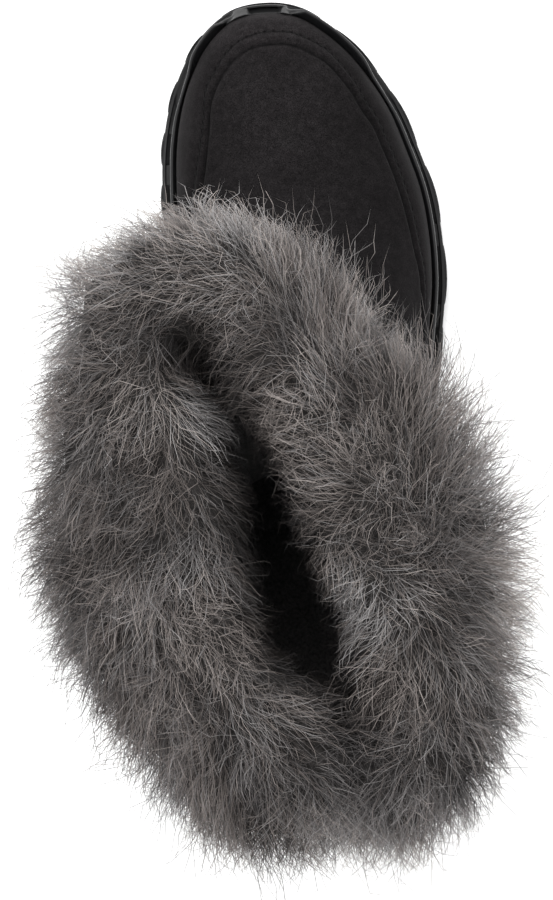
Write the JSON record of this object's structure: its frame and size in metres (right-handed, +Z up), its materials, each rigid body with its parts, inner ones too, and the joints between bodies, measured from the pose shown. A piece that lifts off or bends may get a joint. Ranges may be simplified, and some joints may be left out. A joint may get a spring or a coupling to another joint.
{
  "type": "boot",
  "caption": "Right ankle boot for winter, with a lugged rubber sole, a moccasin-seamed toe, a slack shaft and a deep fur collar.",
  "frame": {"origin": "on the floor under the middle of the boot's bounding box", "axes": "+Z up; the toe points along -Y; +X is the medial (inner) side of this right boot"},
  "size_m": [0.151, 0.3025, 0.249],
  "materials": {
    "outsole": "black rubber, satin",
    "midsole": "black rubber, satin with a glossy rim",
    "insole": "black fleece",
    "upper": "black nubuck, matt",
    "fur_collar": "long grey-brown pile with dark roots and light tips"
  },
  "bodies": {
    "root": {"outsole": "outsole", "midsole": "midsole", "insole": "insole", "upper": "upper", "fur_collar": "fur_collar"}
  },
  "joints": []
}
